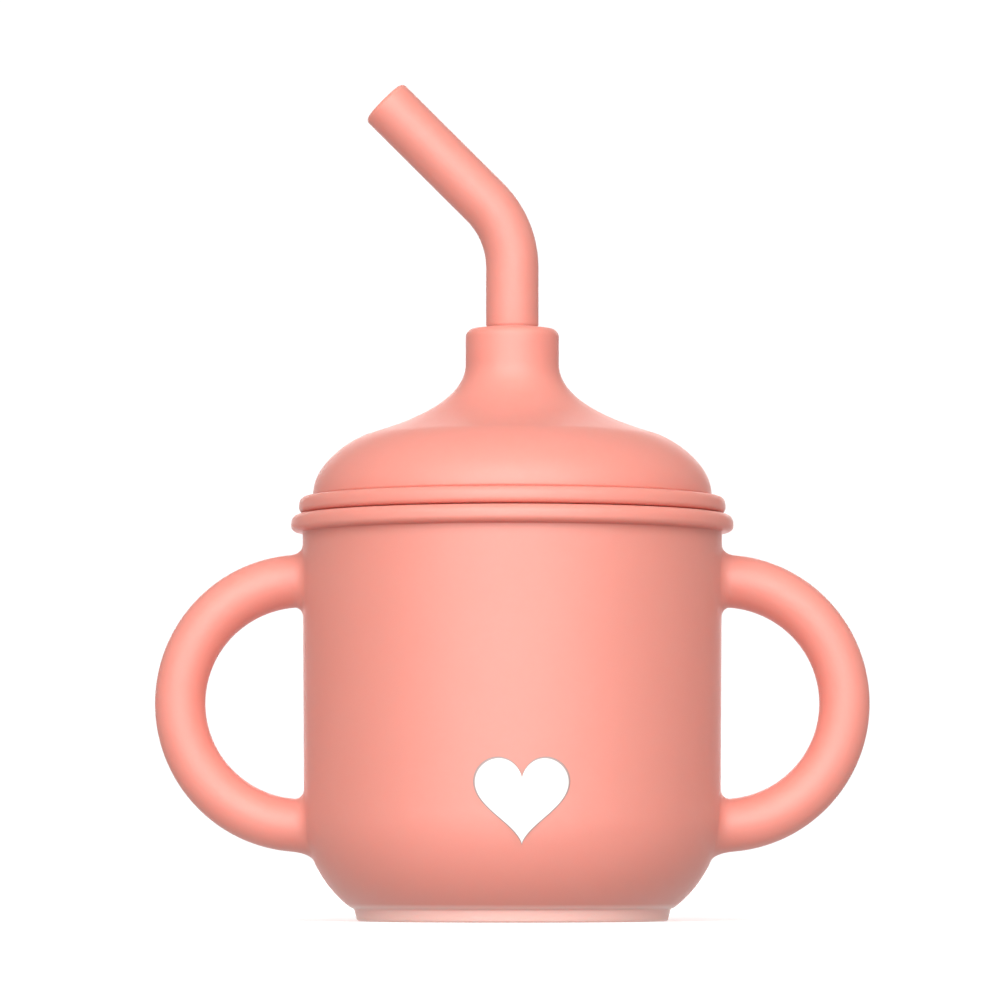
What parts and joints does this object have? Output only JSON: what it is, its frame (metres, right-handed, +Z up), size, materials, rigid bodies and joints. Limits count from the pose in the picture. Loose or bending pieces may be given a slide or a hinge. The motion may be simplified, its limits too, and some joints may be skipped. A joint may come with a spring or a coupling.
{
  "type": "sippy cup",
  "caption": "Silicone toddler cup with loop handles on both sides, a domed lid that presses into the rim, and a bent drinking straw through the lid's neck.",
  "frame": {"origin": "centre of the foot ring, on the surface that the cup stands on", "axes": "+Z up along the axis of the cup, lid and straw's upright leg; the handles lie along +X and -X; the printed front faces -Y; the straw's tip leans to -X"},
  "size_m": [0.1274, 0.079, 0.1497],
  "materials": {
    "cup_silicone": "matte soft-touch silicone, coral pink",
    "lid_silicone": "matte soft-touch silicone, coral pink",
    "straw_silicone": "matte soft-touch silicone, coral pink",
    "print": "thin white printed film"
  },
  "bodies": {
    "cup": {"cup": "cup_silicone"},
    "lid": {"lid": "lid_silicone"},
    "straw": {"straw": "straw_silicone"}
  },
  "joints": [
    {"name": "lid_lift", "type": "slide", "parent": "cup", "child": "lid", "axis": [0, 0, 1], "range_m": [0, 0.085]},
    {"name": "straw_turn", "type": "hinge", "parent": "lid", "child": "straw", "pos_m": [0, 0, 0.106], "axis": [0, 0, 1], "continuous": true}
  ]
}
